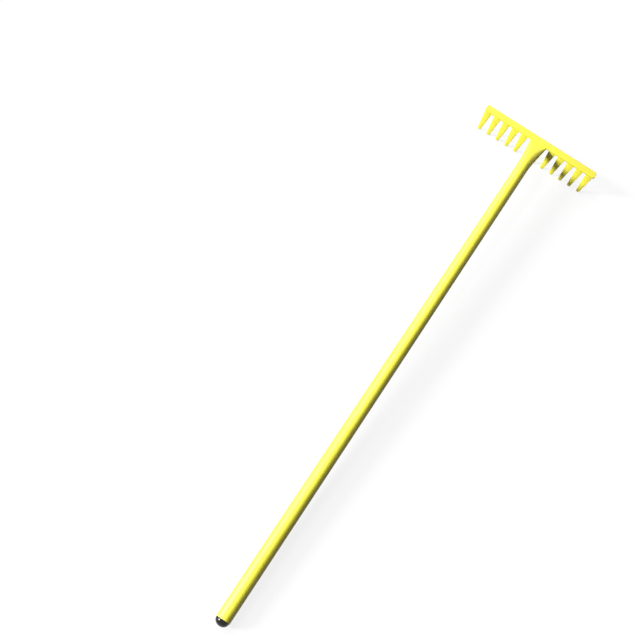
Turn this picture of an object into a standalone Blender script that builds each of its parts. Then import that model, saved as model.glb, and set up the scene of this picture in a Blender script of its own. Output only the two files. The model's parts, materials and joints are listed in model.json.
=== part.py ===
# All-steel rake for loose road stone: a flat bar with twelve flat teeth, and a tube handle
# welded to its front edge. The rake lies on a level floor, on its tooth tips and the far end of its handle.
#
# Metres, +Z up. The origin is on the floor, in the middle of the rake's outline. The handle
# runs along -Y and the bar along X. Two empties carry the pieces:
#   rake_origin  X along the bar, Y away from the handle, Z up; its origin is in the middle of
#                the bar's front top edge, and it is tipped until the rake rests on the floor
#   handle_axis  a child of rake_origin, whose -Y runs down the middle of the straight tube; its
#                origin is straight above the bar's front edge, because only the tube's
#                underside runs on into the flat end

import math

import bmesh
import bpy

# Space left between two pieces that touch
GAP = 0.0003

# Teeth, flat tapered blades that hang under the bar and lean a little towards the handle
TOOTH_COUNT = 12
TOOTH_LENGTH = 0.0738
TOOTH_THICKNESS = 0.005
TOOTH_ROOT_WIDTH = 0.0244
TOOTH_ROOT_SPACE = 0.0092
TOOTH_TIP_WIDTH = 0.0104
TOOTH_TIP_RADIUS = 0.0039
TOOTH_EDGE_RADIUS = 0.0005
TOOTH_SETBACK = 0.0055
TOOTH_LEAN = math.radians(2.0)
TOOTH_WELD_LEG = 0.0024

# Bar, a flat strip laid level on top of the teeth, a little longer than the row at each end
LEFT_END_MARGIN = 0.0016
RIGHT_END_MARGIN = 0.0038
BAR_DEPTH = 0.0288
BAR_THICKNESS = 0.006
BAR_CORNER_RADIUS = 0.006
BAR_EDGE_RADIUS = 0.0007

# Tube handle
TUBE_DIAMETER = 0.038
TUBE_WALL = 0.002
HANDLE_LENGTH = 1.680
HANDLE_ANGLE = math.radians(12.8)
HANDLE_OFFSET = -0.0038

# Head end of the tube, pressed flat down to its underside, and cut square to the bar's front edge
FLAT_END_HEIGHT = 0.0054
FLAT_END_STEP = 0.003
FLAT_END_SQUARENESS = 2.5
FLARE_LENGTH = 0.130
FLARE_CURVE = 1.6

# Welds that hold the flat end to the bar, one above and one below, thinner at their ends
HANDLE_WELD_LEG = 0.0034
WELD_END_SHARE = 0.5
FILLET_FULLNESS = 1.5

# Plastic plug in the open end of the tube: a dome, and a hollow spigot with ribs that grip
PLUG_DIAMETER = 0.0352
PLUG_RIM = 0.0005
PLUG_DOME = 0.0147
PLUG_WALL = 0.0024
SPIGOT_LENGTH = 0.022
RIB_COUNT = 3
RIB_HEIGHT = 0.0008
RIB_LENGTH = 0.003
RIB_CREST = 0.0005

# Smoothness of the round shapes
TUBE_SIDES = 48
FLARE_RINGS = 12
DOME_STEPS = 10
HOLLOW_STEPS = 6
CORNER_STEPS = 6
EDGE_SEGMENTS = 2
WELD_CORNER_STEPS = 3
WELD_STEPS = 14
FILLET_STEPS = 3

# Paint and plastic, as linear colours
YELLOW_PAINT = (0.90, 0.80, 0.015, 1.0)
BLACK_PLASTIC = (0.012, 0.012, 0.013, 1.0)

# Sizes that follow from the ones above
tooth_pitch = TOOTH_ROOT_WIDTH + TOOTH_ROOT_SPACE
tooth_row_length = TOOTH_COUNT * tooth_pitch - TOOTH_ROOT_SPACE
tooth_row_middle = (LEFT_END_MARGIN - RIGHT_END_MARGIN) / 2.0
tooth_taper = (TOOTH_ROOT_WIDTH - TOOTH_TIP_WIDTH) / 2.0 / TOOTH_LENGTH
bar_length = LEFT_END_MARGIN + tooth_row_length + RIGHT_END_MARGIN
tube_radius = TUBE_DIAMETER / 2.0
plug_radius = PLUG_DIAMETER / 2.0
flat_end_shift = tooth_row_middle - HANDLE_OFFSET
flat_end_drop = (TUBE_DIAMETER - FLAT_END_HEIGHT) / 2.0
flat_end_top = FLAT_END_HEIGHT / 2.0 - flat_end_drop
handle_axis_height = -FLAT_END_STEP - flat_end_top / math.cos(HANDLE_ANGLE)


def remove_old_objects():
    for old in list(bpy.data.objects):
        bpy.data.objects.remove(old, do_unlink=True)


def add_empty(name, parent=None):
    empty = bpy.data.objects.new(name, None)
    bpy.context.scene.collection.objects.link(empty)
    empty.parent = parent
    return empty


def mesh_from(name, bm, sharp_angle=35.0):
    bmesh.ops.recalc_face_normals(bm, faces=bm.faces)
    mesh = bpy.data.meshes.new(name)
    bm.to_mesh(mesh)
    bm.free()
    mesh.shade_smooth()
    mesh.set_sharp_from_angle(angle=math.radians(sharp_angle))
    return mesh


def add_piece(name, mesh, parent, finish):
    piece = bpy.data.objects.new(name, mesh)
    bpy.context.scene.collection.objects.link(piece)
    piece.parent = parent
    if not mesh.materials:
        mesh.materials.append(finish(name))
    return piece


def principled(name, colour, roughness, coat):
    material = bpy.data.materials.new(name)
    material.use_nodes = True
    shader = material.node_tree.nodes["Principled BSDF"]
    shader.inputs["Base Color"].default_value = colour
    shader.inputs["Metallic"].default_value = 0.0
    shader.inputs["Roughness"].default_value = roughness
    shader.inputs["Coat Weight"].default_value = coat
    return material


def yellow_paint(name):
    return principled(name + "_paint", YELLOW_PAINT, 0.32, 0.3)


def black_plastic(name):
    return principled(name + "_plastic", BLACK_PLASTIC, 0.22, 0.0)


def round_edges(piece, radius):
    bevel = piece.modifiers.new("edge_radius", "BEVEL")
    bevel.width = radius
    bevel.segments = EDGE_SEGMENTS
    bevel.limit_method = "ANGLE"
    bevel.angle_limit = math.radians(50.0)


def skin(bm, sections, wrap):
    # Quads between each section and the next; the ends are joined, or closed with a cap
    count = len(sections[0])
    pairs = list(zip(sections, sections[1:]))
    if wrap:
        pairs.append((sections[-1], sections[0]))
    for first, second in pairs:
        for i in range(count):
            j = (i + 1) % count
            bm.faces.new((first[i], first[j], second[j], second[i]))
    if not wrap:
        bm.faces.new(reversed(sections[0]))
        bm.faces.new(sections[-1])


# Bar

def rounded_rectangle(width, depth, radius, steps):
    corners = [(width / 2, 0, -90), (width / 2, depth, 0), (-width / 2, depth, 90), (-width / 2, 0, 180)]
    outline = []
    for x, y, start in corners:
        centre_x = x - math.copysign(radius, x)
        centre_y = y + radius if y == 0 else y - radius
        for step in range(steps + 1):
            angle = math.radians(start + 90.0 * step / steps)
            outline.append((centre_x + radius * math.cos(angle), centre_y + radius * math.sin(angle)))
    return outline


def make_bar(parent):
    bm = bmesh.new()
    outline = rounded_rectangle(bar_length, BAR_DEPTH, BAR_CORNER_RADIUS, CORNER_STEPS)
    face = bm.faces.new([bm.verts.new((x, y, -BAR_THICKNESS)) for x, y in outline])
    lifted = bmesh.ops.extrude_face_region(bm, geom=[face])["geom"]
    top = [item for item in lifted if isinstance(item, bmesh.types.BMVert)]
    bmesh.ops.translate(bm, verts=top, vec=(0.0, 0.0, BAR_THICKNESS))
    bar = add_piece("head_bar", mesh_from("head_bar", bm), parent, yellow_paint)
    round_edges(bar, BAR_EDGE_RADIUS)


# Teeth, each in a frame with its origin in the middle of the blade's front root edge

def tooth_half_width(depth):
    # Half the blade's width at a depth below its root
    return TOOTH_ROOT_WIDTH / 2.0 - tooth_taper * depth


def tooth_outline():
    # Root corners, then the blunt tip with its two corners rounded where side and tip meet
    side = math.atan(tooth_taper)
    turn = math.pi / 2.0 - side
    tangent = TOOTH_TIP_RADIUS * math.tan(turn / 2.0)
    half_tip = TOOTH_TIP_WIDTH / 2.0
    right = []
    for step in range(CORNER_STEPS + 1):
        angle = -side - turn * step / CORNER_STEPS
        x = half_tip - tangent + TOOTH_TIP_RADIUS * math.cos(angle)
        z = -TOOTH_LENGTH + TOOTH_TIP_RADIUS + TOOTH_TIP_RADIUS * math.sin(angle)
        right.append((x, z))
    left = [(-x, z) for x, z in reversed(right)]
    return [(TOOTH_ROOT_WIDTH / 2.0, 0.0)] + right + left + [(-TOOTH_ROOT_WIDTH / 2.0, 0.0)]


def tooth_mesh():
    # Front face at y = 0; the root is cut level with the bar although the blade leans
    bm = bmesh.new()
    face = bm.faces.new([bm.verts.new((x, 0.0, z)) for x, z in tooth_outline()])
    pushed = bmesh.ops.extrude_face_region(bm, geom=[face])["geom"]
    back = [item for item in pushed if isinstance(item, bmesh.types.BMVert)]
    bmesh.ops.translate(bm, verts=back, vec=(0.0, TOOTH_THICKNESS, 0.0))
    for vert in back:
        if vert.co.z == 0.0:
            vert.co.z = TOOTH_THICKNESS * math.tan(TOOTH_LEAN)
    return mesh_from("tooth", bm)


def tooth_x(index):
    return tooth_row_middle + (index - (TOOTH_COUNT - 1) / 2.0) * tooth_pitch


def fillet_profile():
    # The face of a slightly full fillet, from one leg's end to the other's, for legs of 1
    power = 2.0 / FILLET_FULLNESS
    points = []
    for step in range(FILLET_STEPS):
        angle = math.pi / 2.0 * step / FILLET_STEPS
        points.append((math.cos(angle) ** power, math.sin(angle) ** power))
    return points + [(0.0, 1.0)]


def make_tooth_weld(name, parent, x):
    # Fillet round the blade's root, which stops at the bar's end and half way to the next tooth
    bm = bmesh.new()
    slope = math.tan(TOOTH_LEAN)
    half_space = (tooth_pitch - GAP) / 2.0
    left_limit = max(-bar_length / 2.0 - x, -half_space)
    right_limit = min(bar_length / 2.0 - x, half_space)
    # Side and face of each corner of the blade, and the way out where its turn starts
    corners = [(1, 0, -90), (1, 1, 0), (-1, 1, 90), (-1, 0, 180)]
    sections = []
    for side, back, start in corners:
        for step in range(WELD_CORNER_STEPS + 1):
            angle = math.radians(start + 90.0 * step / WELD_CORNER_STEPS)
            section = []
            for out, down in [(0.0, 0.0)] + fillet_profile():
                depth = down * TOOTH_WELD_LEG
                spread = GAP + out * TOOTH_WELD_LEG
                weld_x = side * tooth_half_width(depth) + spread * math.cos(angle)
                weld_x = min(max(weld_x, left_limit), right_limit)
                weld_y = back * TOOTH_THICKNESS + spread * math.sin(angle)
                section.append(bm.verts.new((weld_x, weld_y, weld_y * slope - depth)))
            sections.append(section)
    skin(bm, sections, wrap=True)
    return add_piece(name, mesh_from(name, bm), parent, yellow_paint)


def make_teeth(parent):
    blade = tooth_mesh()
    for index in range(TOOTH_COUNT):
        x = tooth_x(index)
        tooth = add_piece("tooth_%02d" % (index + 1), blade, parent, yellow_paint)
        round_edges(tooth, TOOTH_EDGE_RADIUS)
        weld = make_tooth_weld("tooth_weld_%02d" % (index + 1), parent, x)
        for piece in (tooth, weld):
            piece.location = (x, TOOTH_SETBACK, -BAR_THICKNESS - GAP)
            piece.rotation_euler = (-TOOTH_LEAN, 0.0, 0.0)


# Handle, in the frame of handle_axis: x across, z up, and y = -(distance from the bar)

def bar_front_distance(up):
    # Where a line down the tube at this height meets the bar's front edge, less the gap
    return (GAP - math.sin(HANDLE_ANGLE) * up) / math.cos(HANDLE_ANGLE)


def tube_section(distance):
    # Half width, half height, squareness and middle of the tube's outline at a distance
    from_end = max(0.0, distance - bar_front_distance(-flat_end_drop))
    press = max(0.0, 1.0 - from_end / FLARE_LENGTH) ** FLARE_CURVE
    drop = flat_end_drop * press
    half_height = tube_radius - drop
    half_width = half_height + math.pi * drop / 2.0
    power = 2.0 + FLAT_END_SQUARENESS * press
    return half_width, half_height, power, flat_end_shift * press, -drop


def tube_outline(angle, distance, outset):
    # A point on the tube's outer face, moved out by outset
    half_width, half_height, power, middle_x, middle_z = tube_section(distance)
    cosine = math.cos(angle)
    sine = math.sin(angle)
    across = math.copysign(abs(cosine) ** (2.0 / power), cosine)
    up = math.copysign(abs(sine) ** (2.0 / power), sine)
    return middle_x + across * (half_width + outset), middle_z + up * (half_height + outset)


def make_tube(parent):
    # Rings up the outside and back down the inside; the first of each is cut to the bar's edge
    bm = bmesh.new()
    flat_end = bar_front_distance(-flat_end_drop)
    flare = [flat_end + FLARE_LENGTH * (step + 1) / FLARE_RINGS for step in range(FLARE_RINGS)]
    distances = [0.0] + flare + [HANDLE_LENGTH]
    rings = []
    for inset, order in ((0.0, distances), (TUBE_WALL, reversed(distances))):
        for distance in order:
            ring = []
            for side in range(TUBE_SIDES):
                angle = 2.0 * math.pi * (side + 0.5) / TUBE_SIDES
                x, z = tube_outline(angle, distance, -inset)
                ring.append(bm.verts.new((x, -max(distance, bar_front_distance(z)), z)))
            rings.append(ring)
    skin(bm, rings, wrap=True)
    add_piece("handle_tube", mesh_from("handle_tube", bm), parent, yellow_paint)


def flat_end_height(x, above, y):
    # Level of the flat end's upper or under face, at a place across it and a way out from the bar
    half_width, _, power, middle_x, _ = tube_section(0.0)
    share = (x - middle_x) / half_width
    angle = math.acos(math.copysign(abs(share) ** (power / 2.0), share))
    up = tube_outline(angle if above else -angle, 0.0, 0.0)[1]
    distance = bar_front_distance(up) - y / math.cos(HANDLE_ANGLE)
    up = tube_outline(angle if above else -angle, distance, 0.0)[1]
    return handle_axis_height - distance * math.sin(HANDLE_ANGLE) + up * math.cos(HANDLE_ANGLE)


def make_handle_weld(name, parent, above):
    # Fillet along the flat end: above, up the bar's front edge; below, out under the bar
    bm = bmesh.new()
    half_run = tube_section(0.0)[0] - HANDLE_WELD_LEG / 2.0
    tooth_weld_edge = TOOTH_SETBACK - TOOTH_WELD_LEG - GAP
    sections = []
    for step in range(WELD_STEPS):
        x = flat_end_shift + half_run * (2.0 * step / (WELD_STEPS - 1) - 1.0)
        full_leg = HANDLE_WELD_LEG * (WELD_END_SHARE if step in (0, WELD_STEPS - 1) else 1.0)
        face = flat_end_height(x, above, 0.0)
        if above:
            # Stops below the rounded edge of the bar
            leg = min(full_leg, -BAR_EDGE_RADIUS - face - GAP)
        else:
            # Stops above the lower edge of the tube's end
            leg = min(full_leg, -BAR_THICKNESS - GAP - face)
        section = []
        for along, up in [(0.0, 0.0)] + fillet_profile():
            if above:
                y = -GAP - along * full_leg
                z = flat_end_height(x, True, y) + GAP + up * leg
            else:
                y = along * min(full_leg, tooth_weld_edge - GAP)
                z = -BAR_THICKNESS - GAP - up * leg
            section.append(bm.verts.new((x + HANDLE_OFFSET, y, z)))
        sections.append(section)
    skin(bm, sections, wrap=False)
    add_piece(name, mesh_from(name, bm), parent, yellow_paint)


# Plug, turned round the tube's axis: z is the distance past the tube's end

def quarter_ellipse(radius, base, rise, steps):
    # From the top of the dome, on the axis, down to its foot
    points = [(0.0, base + rise)]
    for step in range(1, steps):
        angle = math.pi / 2.0 * (1.0 - step / steps)
        points.append((radius * math.cos(angle), base + rise * math.sin(angle)))
    return points + [(radius, base)]


def plug_profile():
    # Half section from the top of the dome, down outside and back up inside
    grip_radius = tube_radius - TUBE_WALL - GAP
    core_radius = grip_radius - RIB_HEIGHT
    hollow_radius = core_radius - PLUG_WALL
    rib_pitch = SPIGOT_LENGTH / (RIB_COUNT + 1)
    points = quarter_ellipse(plug_radius, PLUG_RIM, PLUG_DOME, DOME_STEPS)
    points += [(plug_radius, 0.0), (core_radius, 0.0)]
    for rib in range(RIB_COUNT):
        top = -rib_pitch * (rib + 0.5)
        points.append((core_radius, top))
        points.append((grip_radius, top - RIB_CREST))
        points.append((grip_radius, top - 2.0 * RIB_CREST))
        points.append((core_radius, top - RIB_LENGTH))
    points.append((core_radius, -SPIGOT_LENGTH + RIB_HEIGHT))
    points.append((core_radius - RIB_HEIGHT, -SPIGOT_LENGTH))
    points.append((hollow_radius, -SPIGOT_LENGTH))
    inner_dome = quarter_ellipse(hollow_radius, PLUG_RIM, PLUG_DOME - PLUG_WALL, HOLLOW_STEPS)
    return points + inner_dome[::-1]


def make_plug(parent):
    bm = bmesh.new()
    verts = [bm.verts.new((x, 0.0, z)) for x, z in plug_profile()]
    for first, second in zip(verts, verts[1:]):
        bm.edges.new((first, second))
    mesh = bpy.data.meshes.new("end_plug")
    bm.to_mesh(mesh)
    bm.free()
    plug = add_piece("end_plug", mesh, parent, black_plastic)
    plug.rotation_euler = (math.pi / 2.0, 0.0, 0.0)
    plug.location = (0.0, -HANDLE_LENGTH - GAP, 0.0)
    turn = plug.modifiers.new("turned", "SCREW")
    turn.axis = "Z"
    turn.angle = 2.0 * math.pi
    turn.steps = TUBE_SIDES
    turn.render_steps = TUBE_SIDES
    turn.use_merge_vertices = True
    turn.merge_threshold = 0.00001
    turn.use_smooth_shade = True


# Rest on the floor, with the rake tipped about X by an angle that lifts the handle

def height_when_tipped(y, z, tip):
    return z * math.cos(tip) - y * math.sin(tip)


def handle_point(distance):
    # y and z of a point on the handle's axis, in the frame of rake_origin
    return -math.cos(HANDLE_ANGLE) * distance, handle_axis_height - math.sin(HANDLE_ANGLE) * distance


def tooth_tip_height(tip):
    # Lowest point of the rounded edge at the back of a tooth's tip
    back = TOOTH_THICKNESS - TOOTH_EDGE_RADIUS
    down = TOOTH_LENGTH - TOOTH_EDGE_RADIUS
    y = TOOTH_SETBACK + back * math.cos(TOOTH_LEAN) - down * math.sin(TOOTH_LEAN)
    z = -BAR_THICKNESS - GAP - back * math.sin(TOOTH_LEAN) - down * math.cos(TOOTH_LEAN)
    return height_when_tipped(y, z, tip) - TOOTH_EDGE_RADIUS


def handle_end_height(tip):
    # Lowest point of the tube's end or of the plug's dome
    slope = HANDLE_ANGLE - tip
    tube_drop = tube_radius * math.cos(slope)
    dome_drop = math.hypot(PLUG_DOME * math.sin(slope), plug_radius * math.cos(slope))
    tube_end = height_when_tipped(*handle_point(HANDLE_LENGTH), tip) - tube_drop
    dome = height_when_tipped(*handle_point(HANDLE_LENGTH + GAP + PLUG_RIM), tip) - dome_drop
    return min(tube_end, dome)


def lay_on_floor(rake):
    # Halves a range of angles until tooth tips and handle end are at one height
    low = math.radians(-20.0)
    high = math.radians(30.0)
    for _ in range(40):
        tip = (low + high) / 2.0
        if handle_end_height(tip) < tooth_tip_height(tip):
            low = tip
        else:
            high = tip
    slope = HANDLE_ANGLE - tip
    dome_y, dome_z = handle_point(HANDLE_LENGTH + GAP + PLUG_RIM)
    far_y = BAR_DEPTH * math.cos(tip)
    near_y = dome_y * math.cos(tip) + dome_z * math.sin(tip)
    near_y -= math.hypot(PLUG_DOME * math.cos(slope), plug_radius * math.sin(slope))
    rake.rotation_euler = (-tip, 0.0, 0.0)
    rake.location = (0.0, -(far_y + near_y) / 2.0, -tooth_tip_height(tip))


def build_rake():
    remove_old_objects()
    rake = add_empty("rake_origin")
    handle = add_empty("handle_axis", rake)
    handle.location = (HANDLE_OFFSET, 0.0, handle_axis_height)
    handle.rotation_euler = (HANDLE_ANGLE, 0.0, 0.0)
    make_bar(rake)
    make_teeth(rake)
    make_tube(handle)
    make_handle_weld("handle_weld_top", rake, above=True)
    make_handle_weld("handle_weld_under", rake, above=False)
    make_plug(handle)
    lay_on_floor(rake)
    bpy.context.view_layer.update()


build_rake()
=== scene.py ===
import json
import math

import bmesh
import bpy
from mathutils import Matrix, Vector


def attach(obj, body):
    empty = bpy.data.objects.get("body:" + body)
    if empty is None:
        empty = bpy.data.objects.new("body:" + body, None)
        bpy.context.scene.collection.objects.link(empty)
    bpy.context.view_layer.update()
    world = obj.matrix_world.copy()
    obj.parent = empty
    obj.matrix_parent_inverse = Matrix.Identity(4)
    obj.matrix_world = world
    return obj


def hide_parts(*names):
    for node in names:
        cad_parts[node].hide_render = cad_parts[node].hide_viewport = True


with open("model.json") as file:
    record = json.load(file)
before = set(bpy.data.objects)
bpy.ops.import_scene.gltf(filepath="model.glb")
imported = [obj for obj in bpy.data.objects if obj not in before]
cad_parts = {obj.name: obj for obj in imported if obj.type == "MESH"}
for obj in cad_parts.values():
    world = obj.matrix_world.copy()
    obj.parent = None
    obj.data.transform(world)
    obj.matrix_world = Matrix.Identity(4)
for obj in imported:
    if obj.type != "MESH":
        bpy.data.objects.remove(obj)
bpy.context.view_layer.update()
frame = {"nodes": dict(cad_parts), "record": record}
print("frame loaded:", len(frame["nodes"]), "nodes")

tiny = 0.00001  # places closer than this are the same
edgeAngle = math.radians(50.0)  # edges that turn by more than this are rounded


# Tools for working by hand: selection, edit mode and placing

def makeActive(piece):
    bpy.ops.object.select_all(action="DESELECT")
    piece.select_set(True)
    bpy.context.view_layer.objects.active = piece


def newPiece(name):
    # Names the object that an operator has just made
    piece = bpy.context.active_object
    piece.name = name
    piece.data.name = name
    return piece


def selectWhere(mode, test):
    # In edit mode, selects only the vertices, edges or faces that pass the test
    mesh = bpy.context.active_object.data
    bpy.ops.mesh.select_mode(type=mode)
    bpy.ops.mesh.select_all(action="DESELECT")
    work = bmesh.from_edit_mesh(mesh)
    for item in {"VERT": work.verts, "EDGE": work.edges, "FACE": work.faces}[mode]:
        item.select = test(item)
    work.select_flush_mode()
    bmesh.update_edit_mesh(mesh)


def edgeMiddle(edge):
    return (edge.verts[0].co + edge.verts[1].co) / 2.0


def runsAlong(edge, axis):
    # True for an edge within about 25 degrees of X, Y or Z, numbered 0, 1 or 2
    return abs((edge.verts[1].co - edge.verts[0].co).normalized()[axis]) > 0.9


def applyModifier(piece, kind, **settings):
    modifier = piece.modifiers.new(kind.lower(), kind)
    for key, value in settings.items():
        setattr(modifier, key, value)
    makeActive(piece)
    bpy.ops.object.modifier_apply(modifier=modifier.name)


def applyPlace(piece):
    makeActive(piece)
    bpy.ops.object.transform_apply(location=True, rotation=True, scale=True)


def placeIn(piece, place):
    # Puts a piece that was made at the origin into a frame, and its place into its mesh
    piece.matrix_world = place
    applyPlace(piece)


def shadeSmooth(piece, degrees):
    makeActive(piece)
    bpy.ops.object.shade_smooth_by_angle(angle=math.radians(degrees))


def drawChain(name, points, closed=False):
    # A small plane is merged into one vertex, which is extruded from point to point
    bpy.ops.object.select_all(action="DESELECT")
    bpy.ops.mesh.primitive_plane_add(size=0.001)
    piece = newPiece(name)
    bpy.ops.object.mode_set(mode="EDIT")
    bpy.ops.mesh.merge(type="CENTER")
    bpy.ops.transform.translate(value=points[0])
    for before, point in zip(points, points[1:]):
        step = Vector(point) - Vector(before)
        bpy.ops.mesh.extrude_region_move(TRANSFORM_OT_translate={"value": step})
    if closed:
        ends = (Vector(points[0]), Vector(points[-1]))
        selectWhere("VERT", lambda vert: min((vert.co - end).length for end in ends) < tiny)
        bpy.ops.mesh.edge_face_add()
    bpy.ops.object.mode_set(mode="OBJECT")
    return piece


def finish(piece, material, slot, *nodes):
    piece.data.materials.clear()
    piece.data.materials.append(material)
    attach(piece, "root")
    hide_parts(*nodes)


# Finishes

enamel = {
    "colour": (0.95, 0.88, 0.070, 1.0),
    "thinColour": (0.92, 0.83, 0.058, 1.0),
    "patchScale": 14.0,  # scales are about one over the size in metres
    "patchDetail": 3.0,
    "roughness": (0.42, 0.52),
    "smearScale": 45.0,  # uneven gloss
    "smearDetail": 4.0,
    "peelScale": 420.0,  # orange peel
    "peelDetail": 2.0,
    "peelDepth": 0.00016,
    "peelStrength": 0.6,
    "specular": 0.70,
}

plastic = {
    "colour": (0.002, 0.002, 0.002, 1.0),
    "paleColour": (0.004, 0.004, 0.004, 1.0),
    "patchScale": 60.0,
    "patchDetail": 3.0,
    "roughness": (0.20, 0.25),
    "specular": 0.36,
    "grainScale": 1500.0,  # fine grain of the mould
    "grainDetail": 2.0,
    "grainDepth": 0.00002,
    "grainStrength": 0.2,
}

# Values of a noise between which a colour or a roughness goes from its low end to its high one
colourSpan = (0.35, 0.65)
roughnessSpan = (0.3, 0.7)


def newMaterial(name):
    material = bpy.data.materials.new(name)
    material.use_nodes = True
    return material, material.node_tree.nodes, material.node_tree.links


def noiseNode(nodes, links, place, scale, detail):
    noise = nodes.new("ShaderNodeTexNoise")
    noise.inputs["Scale"].default_value = scale
    noise.inputs["Detail"].default_value = detail
    links.new(place, noise.inputs["Vector"])
    return noise


def colourBlend(nodes, links, fac, low, high):
    blend = nodes.new("ShaderNodeValToRGB")
    blend.color_ramp.elements[0].position = colourSpan[0]
    blend.color_ramp.elements[0].color = low
    blend.color_ramp.elements[1].position = colourSpan[1]
    blend.color_ramp.elements[1].color = high
    links.new(fac, blend.inputs["Fac"])
    return blend.outputs["Color"]


def rangeNode(nodes, links, value, low, high):
    spread = nodes.new("ShaderNodeMapRange")
    spread.inputs["From Min"].default_value = roughnessSpan[0]
    spread.inputs["From Max"].default_value = roughnessSpan[1]
    spread.inputs["To Min"].default_value = low
    spread.inputs["To Max"].default_value = high
    links.new(value, spread.inputs["Value"])
    return spread.outputs["Result"]


def bumpNode(nodes, links, height, strength, depth):
    bump = nodes.new("ShaderNodeBump")
    bump.inputs["Strength"].default_value = strength
    bump.inputs["Distance"].default_value = depth
    links.new(height, bump.inputs["Height"])
    return bump.outputs["Normal"]


def makeEnamel():
    material, nodes, links = newMaterial("yellowEnamel")
    shader = nodes["Principled BSDF"]
    place = nodes.new("ShaderNodeTexCoord").outputs["Object"]
    patches = noiseNode(nodes, links, place, enamel["patchScale"], enamel["patchDetail"])
    smears = noiseNode(nodes, links, place, enamel["smearScale"], enamel["smearDetail"])
    peel = noiseNode(nodes, links, place, enamel["peelScale"], enamel["peelDetail"])
    links.new(colourBlend(nodes, links, patches.outputs["Fac"], enamel["thinColour"], enamel["colour"]),
              shader.inputs["Base Color"])
    links.new(rangeNode(nodes, links, smears.outputs["Fac"], *enamel["roughness"]),
              shader.inputs["Roughness"])
    links.new(bumpNode(nodes, links, peel.outputs["Fac"], enamel["peelStrength"], enamel["peelDepth"]),
              shader.inputs["Normal"])
    shader.inputs["Specular IOR Level"].default_value = enamel["specular"]
    return material


def makePlastic():
    material, nodes, links = newMaterial("blackPlastic")
    shader = nodes["Principled BSDF"]
    place = nodes.new("ShaderNodeTexCoord").outputs["Object"]
    patches = noiseNode(nodes, links, place, plastic["patchScale"], plastic["patchDetail"])
    grain = noiseNode(nodes, links, place, plastic["grainScale"], plastic["grainDetail"])
    links.new(colourBlend(nodes, links, patches.outputs["Fac"], plastic["colour"], plastic["paleColour"]),
              shader.inputs["Base Color"])
    links.new(rangeNode(nodes, links, patches.outputs["Fac"], *plastic["roughness"]),
              shader.inputs["Roughness"])
    links.new(bumpNode(nodes, links, grain.outputs["Fac"], plastic["grainStrength"], plastic["grainDepth"]),
              shader.inputs["Normal"])
    shader.inputs["Specular IOR Level"].default_value = plastic["specular"]
    return material


yellowEnamel = makeEnamel()
blackPlastic = makePlastic()
print("finishes made")


# Bar: X along it, Y away from the handle, Z up, origin in the middle of its front top edge

bar = {
    "length": 0.3994,
    "depth": 0.0288,
    "thickness": 0.006,
    "cornerRadius": 0.006,
    "cornerSteps": 10,
    "edgeRadius": 0.0008,
    "edgeSteps": 3,
    "smoothAngle": 30.0,
}

# The record's mount on the bar's top says how far the rake is tipped to rest on the floor
barTop = next(mount for mount in frame["record"]["mounts"] if mount["name"] == "bar_top")
rakeTip = math.atan2(barTop["axis"][1], barTop["axis"][2])
headPlace = Matrix.Translation(barTop["pos_m"]) @ Matrix.Rotation(-rakeTip, 4, "X")
headPlace = headPlace @ Matrix.Translation((0.0, -bar["depth"] / 2.0, 0.0))


def makeBar():
    bpy.ops.object.select_all(action="DESELECT")
    middle = (0.0, bar["depth"] / 2.0, -bar["thickness"] / 2.0)
    bpy.ops.mesh.primitive_cube_add(size=1.0, location=middle)
    piece = newPiece("paintedBar")
    piece.scale = (bar["length"], bar["depth"], bar["thickness"])
    applyPlace(piece)
    bpy.ops.object.mode_set(mode="EDIT")
    selectWhere("EDGE", lambda edge: runsAlong(edge, 2))
    bpy.ops.mesh.bevel(offset=bar["cornerRadius"], segments=bar["cornerSteps"])
    bpy.ops.object.mode_set(mode="OBJECT")
    applyModifier(piece, "BEVEL", width=bar["edgeRadius"], segments=bar["edgeSteps"], angle_limit=edgeAngle)
    shadeSmooth(piece, bar["smoothAngle"])
    placeIn(piece, headPlace)
    finish(piece, yellowEnamel, "yellow_paint", "head_bar")


makeBar()
print("bar made")


# Teeth: each hangs from the bar's underside, with its front face set back from the bar's edge

tooth = {
    "count": 12,
    "pitch": 0.0336,
    "rowMiddle": -0.0011,  # the row is a little left of the bar's middle
    "length": 0.0738,
    "thickness": 0.005,
    "rootWidth": 0.0244,
    "tipWidth": 0.0104,
    "tipRadius": 0.0039,
    "tipSteps": 8,
    "edgeRadius": 0.0006,
    "edgeSteps": 3,
    "smoothAngle": 35.0,
    "setback": 0.0055,  # from the bar's front edge to the blade's front face
    "lean": math.radians(2.0),  # the tips point a little towards the handle
}

gap = 0.0003  # left between the pieces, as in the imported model


def makeToothBlade():
    # Blade with the middle of its front root edge at the origin
    bpy.ops.object.select_all(action="DESELECT")
    middle = (0.0, tooth["thickness"] / 2.0, -tooth["length"] / 2.0)
    bpy.ops.mesh.primitive_cube_add(size=1.0, location=middle)
    piece = newPiece("toothBlade")
    piece.scale = (tooth["rootWidth"], tooth["thickness"], tooth["length"])
    applyPlace(piece)
    bpy.ops.object.mode_set(mode="EDIT")
    selectWhere("VERT", lambda vert: vert.co.z < middle[2])
    taper = tooth["tipWidth"] / tooth["rootWidth"]
    bpy.ops.transform.resize(value=(taper, 1.0, 1.0), center_override=(0.0, 0.0, 0.0))
    selectWhere("EDGE", lambda edge: edgeMiddle(edge).z < middle[2] and runsAlong(edge, 1))
    bpy.ops.mesh.bevel(offset=tooth["tipRadius"], segments=tooth["tipSteps"])
    # The root stays level with the bar although the blade leans
    selectWhere("VERT", lambda vert: vert.co.z > middle[2] and vert.co.y > middle[1])
    bpy.ops.transform.translate(value=(0.0, 0.0, tooth["thickness"] * math.tan(tooth["lean"])))
    bpy.ops.object.mode_set(mode="OBJECT")
    applyModifier(piece, "BEVEL", width=tooth["edgeRadius"], segments=tooth["edgeSteps"],
                  angle_limit=edgeAngle)
    shadeSmooth(piece, tooth["smoothAngle"])
    return piece


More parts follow.
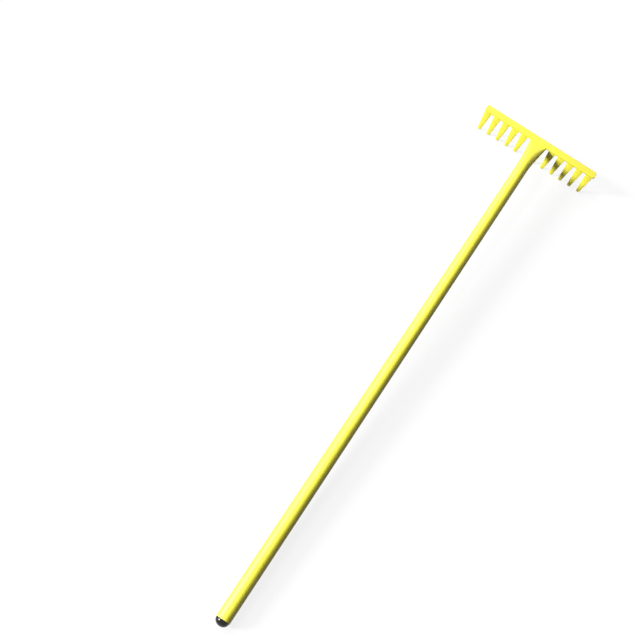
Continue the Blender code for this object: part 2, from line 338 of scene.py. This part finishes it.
def toothPlace(index):
    x = tooth["rowMiddle"] + (index - (tooth["count"] - 1) / 2.0) * tooth["pitch"]
    root = Matrix.Translation((x, tooth["setback"], -bar["thickness"] - gap))
    return headPlace @ root @ Matrix.Rotation(-tooth["lean"], 4, "X")


def copyPiece(model, name):
    piece = model.copy()
    piece.data = model.data.copy()
    piece.name = name
    piece.data.name = name
    bpy.context.scene.collection.objects.link(piece)
    return piece


def trimToBar(piece):
    # Nothing stands out past the bar's ends, as if it had been ground flush there
    makeActive(piece)
    bpy.ops.object.mode_set(mode="EDIT")
    for side in (1.0, -1.0):
        end = side * bar["length"] / 2.0
        selectWhere("VERT", lambda vert: side * (vert.co.x - end) > 0.0)
        bpy.ops.transform.resize(value=(0.0, 1.0, 1.0), center_override=(end, 0.0, 0.0))
    bpy.ops.object.mode_set(mode="OBJECT")


def makeRow(model, name, node):
    for index in range(tooth["count"]):
        piece = copyPiece(model, "%s%02d" % (name, index + 1))
        placeIn(piece, toothPlace(index))
        trimToBar(piece)
        finish(piece, yellowEnamel, "yellow_paint", "%s_%02d" % (node, index + 1))
    bpy.data.objects.remove(model)


makeRow(makeToothBlade(), "toothBlade", "tooth")
print("teeth made")


# Weld beads: a chain of points that is given a round section, with the ripples of hand welding

bead = {
    "radius": 0.0016,
    "offset": 0.0006,  # of the bead's middle from the corner
    "cornerSteps": 4,
    "stepLength": 0.0005,
    "rippleSteps": 4,
    "rippleHeight": 0.10,  # share of the radius
    "endSize": 0.35,  # share of the radius where a run starts and stops
    "sides": 5,
    "smoothAngle": 60.0,
}


def straightPoints(start, end):
    count = max(1, round((end - start).length / bead["stepLength"]))
    return [start.lerp(end, step / count) for step in range(count)]


def beadAlong(name, points, closed, radius, taperSteps=0):
    # Each ripple swells and then drops back, like overlapping scales
    piece = drawChain(name, points, closed)
    makeActive(piece)
    bpy.ops.object.convert(target="CURVE")
    curve = piece.data
    curve.bevel_depth = radius
    curve.bevel_resolution = bead["sides"]
    curve.use_fill_caps = True
    line = curve.splines[0].points
    for index, point in enumerate(line):
        ripple = (index % bead["rippleSteps"]) / bead["rippleSteps"]
        size = 1.0 + bead["rippleHeight"] * (ripple - 0.5)
        fromEnd = min(index, len(line) - 1 - index)
        if fromEnd < taperSteps:
            swell = math.sin(math.pi / 2.0 * fromEnd / taperSteps)
            size *= bead["endSize"] + (1.0 - bead["endSize"]) * swell
        point.radius = size
    bpy.ops.object.convert(target="MESH")
    bpy.ops.object.mode_set(mode="EDIT")
    bpy.ops.mesh.select_all(action="SELECT")
    bpy.ops.mesh.remove_doubles(threshold=tiny)
    bpy.ops.mesh.normals_make_consistent(inside=False)
    bpy.ops.object.mode_set(mode="OBJECT")
    shadeSmooth(piece, bead["smoothAngle"])
    return piece


def makeToothBead():
    # Once round the root of the blade, in the corner between blade and bar
    out = bead["offset"]
    half = tooth["rootWidth"] / 2.0
    # Each corner of the blade, with the direction in which its quarter turn starts
    corners = [(half, 0.0, -90.0), (half, tooth["thickness"], 0.0),
               (-half, tooth["thickness"], 90.0), (-half, 0.0, 180.0)]
    turns = []
    for x, y, start in corners:
        for step in range(bead["cornerSteps"] + 1):
            angle = math.radians(start + 90.0 * step / bead["cornerSteps"])
            turns.append(Vector((x + out * math.cos(angle), y + out * math.sin(angle), -out)))
    points = []
    for here, there in zip(turns, turns[1:] + turns[:1]):
        points += straightPoints(here, there)
    return beadAlong("toothBead", points, True, bead["radius"])


makeRow(makeToothBead(), "toothBead", "tooth_weld")
print("tooth welds made")


# Tube handle: X across, Z up, and -Y down the tube, with the origin above the bar's front edge

tube = {
    "radius": 0.019,
    "wall": 0.002,
    "length": 1.680,
    "angle": math.radians(12.8),
    "offset": -0.0038,  # the handle is a little left of the bar's middle
    "axisHeight": 0.010947,  # of the tube's axis over the bar's front top edge
    "sides": 96,
    "flatHeight": 0.0054,  # outside, of the pressed end
    "flareLength": 0.130,
    "flareCurve": 1.6,  # above 1, most of the pressing is near the end
    "flareRings": 36,
    "spareRings": 2,  # past the flare, so that the end can be cut off along the bar's edge
    "rimRadius": 0.0004,
    "rimSteps": 2,
    "rimAngle": 60.0,
    "smoothAngle": 40.0,
}

flatDrop = tube["radius"] - tube["flatHeight"] / 2.0
flatShift = tooth["rowMiddle"] - tube["offset"]
handlePlace = headPlace @ Matrix.Translation((tube["offset"], 0.0, tube["axisHeight"]))
handlePlace = handlePlace @ Matrix.Rotation(tube["angle"], 4, "X")


def barFrontDistance(up):
    # Distance down the tube, at a height beside its axis, where the bar's front edge is met
    return (gap - math.sin(tube["angle"]) * up) / math.cos(tube["angle"])


def flareSection(distance):
    # Middle, half height, half width and length of half the flat, for the pressed tube
    fromEnd = distance - barFrontDistance(-flatDrop)
    press = min(1.0, max(0.0, 1.0 - fromEnd / tube["flareLength"]) ** tube["flareCurve"])
    drop = flatDrop * press
    halfHeight = tube["radius"] - drop
    halfFlat = math.pi * drop / 2.0 * press
    halfWidth = halfHeight + math.pi * drop / 2.0 - halfFlat
    return flatShift * press, -drop, halfHeight, halfWidth, halfFlat


def pressRing(distance, before, after):
    # Turns the selected ring from one section into the next: close the flats, resize, open them
    oldMiddle, oldUp, oldHalfHeight, oldHalfWidth, oldHalfFlat = before
    middle, up, halfHeight, halfWidth, halfFlat = after
    y = -distance

    def onRing(vert):
        return abs(vert.co.y - y) < tiny

    def moveHalves(x, shift):
        for side in (1.0, -1.0):
            selectWhere("VERT", lambda vert: onRing(vert) and side * (vert.co.x - x) > tiny)
            bpy.ops.transform.translate(value=(side * shift, 0.0, 0.0))
        selectWhere("VERT", onRing)

    if oldHalfFlat > tiny:
        moveHalves(oldMiddle, -oldHalfFlat)
    bpy.ops.transform.resize(value=(halfWidth / oldHalfWidth, 1.0, halfHeight / oldHalfHeight),
                             center_override=(oldMiddle, y, oldUp))
    bpy.ops.transform.translate(value=(middle - oldMiddle, 0.0, up - oldUp))
    if halfFlat > tiny:
        moveHalves(middle, halfFlat)


def makeTube():
    flatEnd = barFrontDistance(-flatDrop)
    flareStart = flatEnd + tube["flareLength"]
    straight = tube["length"] - flareStart
    bpy.ops.object.select_all(action="DESELECT")
    bpy.ops.mesh.primitive_cylinder_add(vertices=tube["sides"], radius=tube["radius"], depth=straight,
                                        end_fill_type="NOTHING", rotation=(math.pi / 2.0, 0.0, 0.0),
                                        location=(0.0, -flareStart - straight / 2.0, 0.0))
    piece = newPiece("tubeHandle")
    applyPlace(piece)
    bpy.ops.object.mode_set(mode="EDIT")
    selectWhere("VERT", lambda vert: abs(vert.co.y + flareStart) < tiny)
    before = flareSection(flareStart)
    ringStep = tube["flareLength"] / tube["flareRings"]
    for ring in range(1, tube["flareRings"] + tube["spareRings"] + 1):
        distance = flareStart - ring * ringStep
        bpy.ops.mesh.extrude_region_move(TRANSFORM_OT_translate={"value": (0.0, ringStep, 0.0)})
        after = flareSection(distance)
        pressRing(distance, before, after)
        before = after
    bpy.ops.mesh.select_all(action="SELECT")
    across = Vector((0.0, math.cos(tube["angle"]), -math.sin(tube["angle"])))
    frontEdge = (0.0, -barFrontDistance(0.0), 0.0)
    bpy.ops.mesh.bisect(plane_co=frontEdge, plane_no=across, clear_outer=True, clear_inner=False)
    bpy.ops.mesh.select_all(action="SELECT")
    bpy.ops.mesh.normals_make_consistent(inside=False)
    bpy.ops.object.mode_set(mode="OBJECT")
    applyModifier(piece, "SOLIDIFY", thickness=tube["wall"], offset=-1.0)
    applyModifier(piece, "BEVEL", width=tube["rimRadius"], segments=tube["rimSteps"],
                  angle_limit=math.radians(tube["rimAngle"]))
    shadeSmooth(piece, tube["smoothAngle"])
    placeIn(piece, handlePlace)
    finish(piece, yellowEnamel, "yellow_paint", "handle_tube")


makeTube()
print("tube made")


# Beads above and below the flat end of the tube, against the bar

handleBead = {
    "radius": 0.0022,
    "inset": 0.0020,
    "topLevel": -0.0034,
    "topOut": 0.0009,
    "underLevel": -0.0066,
    "underIn": 0.0004,
    "underRadius": 0.0017,
    "wander": 0.0002,
    "wanderRates": (240.0, 90.0),
    "taperSteps": 5,
}


def makeHandleBead(name, y, z, radius, node):
    # A hand-laid run across the flat end, not quite straight
    half = flatDrop * math.pi / 2.0 + tube["flatHeight"] / 2.0 - handleBead["inset"]
    quick, slow = handleBead["wanderRates"]
    points = []
    for point in straightPoints(Vector((-half, y, z)), Vector((half, y, z))):
        sway = handleBead["wander"] * math.sin(point.x * quick) * math.cos(point.x * slow)
        points.append(point + Vector((tooth["rowMiddle"], sway, 0.0)))
    piece = beadAlong(name, points, False, radius, handleBead["taperSteps"])
    placeIn(piece, headPlace)
    finish(piece, yellowEnamel, "yellow_paint", node)


makeHandleBead("handleBeadTop", -handleBead["topOut"], handleBead["topLevel"],
               handleBead["radius"], "handle_weld_top")
makeHandleBead("handleBeadUnder", handleBead["underIn"], handleBead["underLevel"],
               handleBead["underRadius"], "handle_weld_under")
print("handle welds made")


# Plug: its section is drawn beside the axis and spun

plug = {
    "radius": 0.0176,
    "rim": 0.0005,  # straight edge under the dome
    "rimEdge": 0.00015,
    "dome": 0.0147,
    "domeSteps": 24,
    "wall": 0.0024,
    "spigotLength": 0.022,
    "ribCount": 3,
    "ribHeight": 0.0008,  # the ribs grip the inside of the tube
    "ribLength": 0.003,
    "ribCrest": 0.0005,
    "sides": 96,
    "seam": 0.00002,  # points closer than this are joined where the spin closes
    "smoothAngle": 30.0,
}


def plugSection():
    # Radius and distance past the tube's end, from the dome's top down outside and back inside
    grip = tube["radius"] - tube["wall"] - gap
    core = grip - plug["ribHeight"]
    hollow = core - plug["wall"]
    points = []
    for step in range(plug["domeSteps"] + 1):
        angle = math.pi / 2.0 * (1.0 - step / plug["domeSteps"])
        points.append((plug["radius"] * math.cos(angle), plug["rim"] + plug["dome"] * math.sin(angle)))
    points += [(plug["radius"], plug["rimEdge"]), (plug["radius"] - plug["rimEdge"], 0.0), (core, 0.0)]
    ribPitch = plug["spigotLength"] / (plug["ribCount"] + 1)
    for rib in range(plug["ribCount"]):
        top = -ribPitch * (rib + 0.5)
        points += [(core, top), (grip, top - plug["ribCrest"]), (grip, top - 2.0 * plug["ribCrest"]),
                   (core, top - plug["ribLength"])]
    points += [(core, plug["ribHeight"] - plug["spigotLength"]),
               (core - plug["ribHeight"], -plug["spigotLength"]), (hollow, -plug["spigotLength"])]
    inside = plug["domeSteps"] // 2
    for step in range(inside + 1):
        angle = math.pi / 2.0 * step / inside
        rise = (plug["dome"] - plug["wall"]) * math.sin(angle)
        points.append((hollow * math.cos(angle), plug["rim"] + rise))
    return points


def makePlug():
    end = tube["length"] + gap
    piece = drawChain("handlePlug", [(radius, -end - past, 0.0) for radius, past in plugSection()])
    bpy.ops.object.mode_set(mode="EDIT")
    bpy.ops.mesh.select_all(action="SELECT")
    bpy.ops.mesh.spin(steps=plug["sides"], angle=2.0 * math.pi, center=(0.0, 0.0, 0.0),
                      axis=(0.0, 1.0, 0.0))
    bpy.ops.mesh.select_all(action="SELECT")
    bpy.ops.mesh.remove_doubles(threshold=plug["seam"])
    bpy.ops.mesh.normals_make_consistent(inside=False)
    bpy.ops.object.mode_set(mode="OBJECT")
    shadeSmooth(piece, plug["smoothAngle"])
    placeIn(piece, handlePlace)
    finish(piece, blackPlastic, "black_plastic", "end_plug")


makePlug()
print("plug made")


# Studio: white floor and surroundings, a low key light from the left, and two weaker lights, one
# above it and one round towards the head, whose reflections make the pale streak down the handle

studio = {
    "floorSize": 14.0,
    "floorGlow": 0.85,  # keeps the floor white to the camera
    "floorSeen": (0.14, 0.14, 0.14, 1.0),  # takes the shadow
    "floorBounce": (0.06, 0.06, 0.06, 1.0),  # what the rake gets back from the floor
    "white": (1.0, 1.0, 1.0, 1.0),
    "surround": 0.04,  # light on the rake from all round
    "surroundSeen": 1.0,
}

# Lamps by name: the direction that the light comes from, its strength and its width in degrees
lamps = {
    "keyLight": ((-1.0, -0.55, 0.50), 5.3, 14.0),
    "upperLight": ((-0.60, 0.10, 0.76), 1.6, 24.0),
    "backLight": ((-0.75, 0.44, 0.40), 1.3, 26.0),
}


def seenOrMirrored(nodes, links):
    # 1 for what the camera sees, directly, mirrored or through glass
    path = nodes.new("ShaderNodeLightPath")
    total = path.outputs["Is Camera Ray"]
    for name in ("Is Glossy Ray", "Is Transmission Ray"):
        add = nodes.new("ShaderNodeMath")
        add.operation = "MAXIMUM"
        links.new(total, add.inputs[0])
        links.new(path.outputs[name], add.inputs[1])
        total = add.outputs["Value"]
    return total


def mixForRays(nodes, links, unseen, seen):
    # One shader for what the camera sees, another for the light that falls on the rake
    choose = nodes.new("ShaderNodeMixShader")
    links.new(seenOrMirrored(nodes, links), choose.inputs["Fac"])
    links.new(unseen, choose.inputs[1])
    links.new(seen, choose.inputs[2])
    return choose.outputs["Shader"]


def makeFloor():
    bpy.ops.object.select_all(action="DESELECT")
    bpy.ops.mesh.primitive_plane_add(size=studio["floorSize"])
    floor = newPiece("studioFloor")
    material, nodes, links = newMaterial("whiteFloor")
    nodes.remove(nodes["Principled BSDF"])
    glow = nodes.new("ShaderNodeEmission")
    glow.inputs["Strength"].default_value = studio["floorGlow"]
    seen = nodes.new("ShaderNodeBsdfDiffuse")
    seen.inputs["Color"].default_value = studio["floorSeen"]
    bounce = nodes.new("ShaderNodeBsdfDiffuse")
    bounce.inputs["Color"].default_value = studio["floorBounce"]
    both = nodes.new("ShaderNodeAddShader")
    links.new(glow.outputs["Emission"], both.inputs[0])
    links.new(seen.outputs["BSDF"], both.inputs[1])
    links.new(mixForRays(nodes, links, bounce.outputs["BSDF"], both.outputs["Shader"]),
              nodes["Material Output"].inputs["Surface"])
    floor.data.materials.append(material)


def makeWorld():
    world = bpy.data.worlds.new("studio")
    bpy.context.scene.world = world
    world.use_nodes = True
    nodes = world.node_tree.nodes
    links = world.node_tree.links
    dim = nodes["Background"]
    seen = nodes.new("ShaderNodeBackground")
    for background, strength in ((dim, studio["surround"]), (seen, studio["surroundSeen"])):
        background.inputs["Color"].default_value = studio["white"]
        background.inputs["Strength"].default_value = strength
    links.new(mixForRays(nodes, links, dim.outputs["Background"], seen.outputs["Background"]),
              nodes["World Output"].inputs["Surface"])


def makeLights():
    for name, (direction, strength, width) in lamps.items():
        data = bpy.data.lights.new(name, "SUN")
        data.energy = strength
        data.angle = math.radians(width)
        lamp = bpy.data.objects.new(name, data)
        bpy.context.scene.collection.objects.link(lamp)
        lamp.rotation_euler = Vector(direction).to_track_quat("Z", "Y").to_euler()


# Camera: the photo's view of the rake, from above the far end of the handle

view = {
    "place": (-0.04089, -1.04949, 2.1012),
    "turn": (math.radians(23.796), math.radians(-10.125), math.radians(32.814)),
    "lens": 47.383,
    "sensor": 36.0,
}


def makeCamera():
    data = bpy.data.cameras.new("photoView")
    data.lens = view["lens"]
    data.sensor_width = view["sensor"]
    camera = bpy.data.objects.new("photoView", data)
    bpy.context.scene.collection.objects.link(camera)
    camera.location = view["place"]
    camera.rotation_euler = view["turn"]
    bpy.context.scene.camera = camera


makeFloor()
makeWorld()
makeLights()
makeCamera()
bpy.context.scene.view_settings.view_transform = "Standard"
print("studio made")
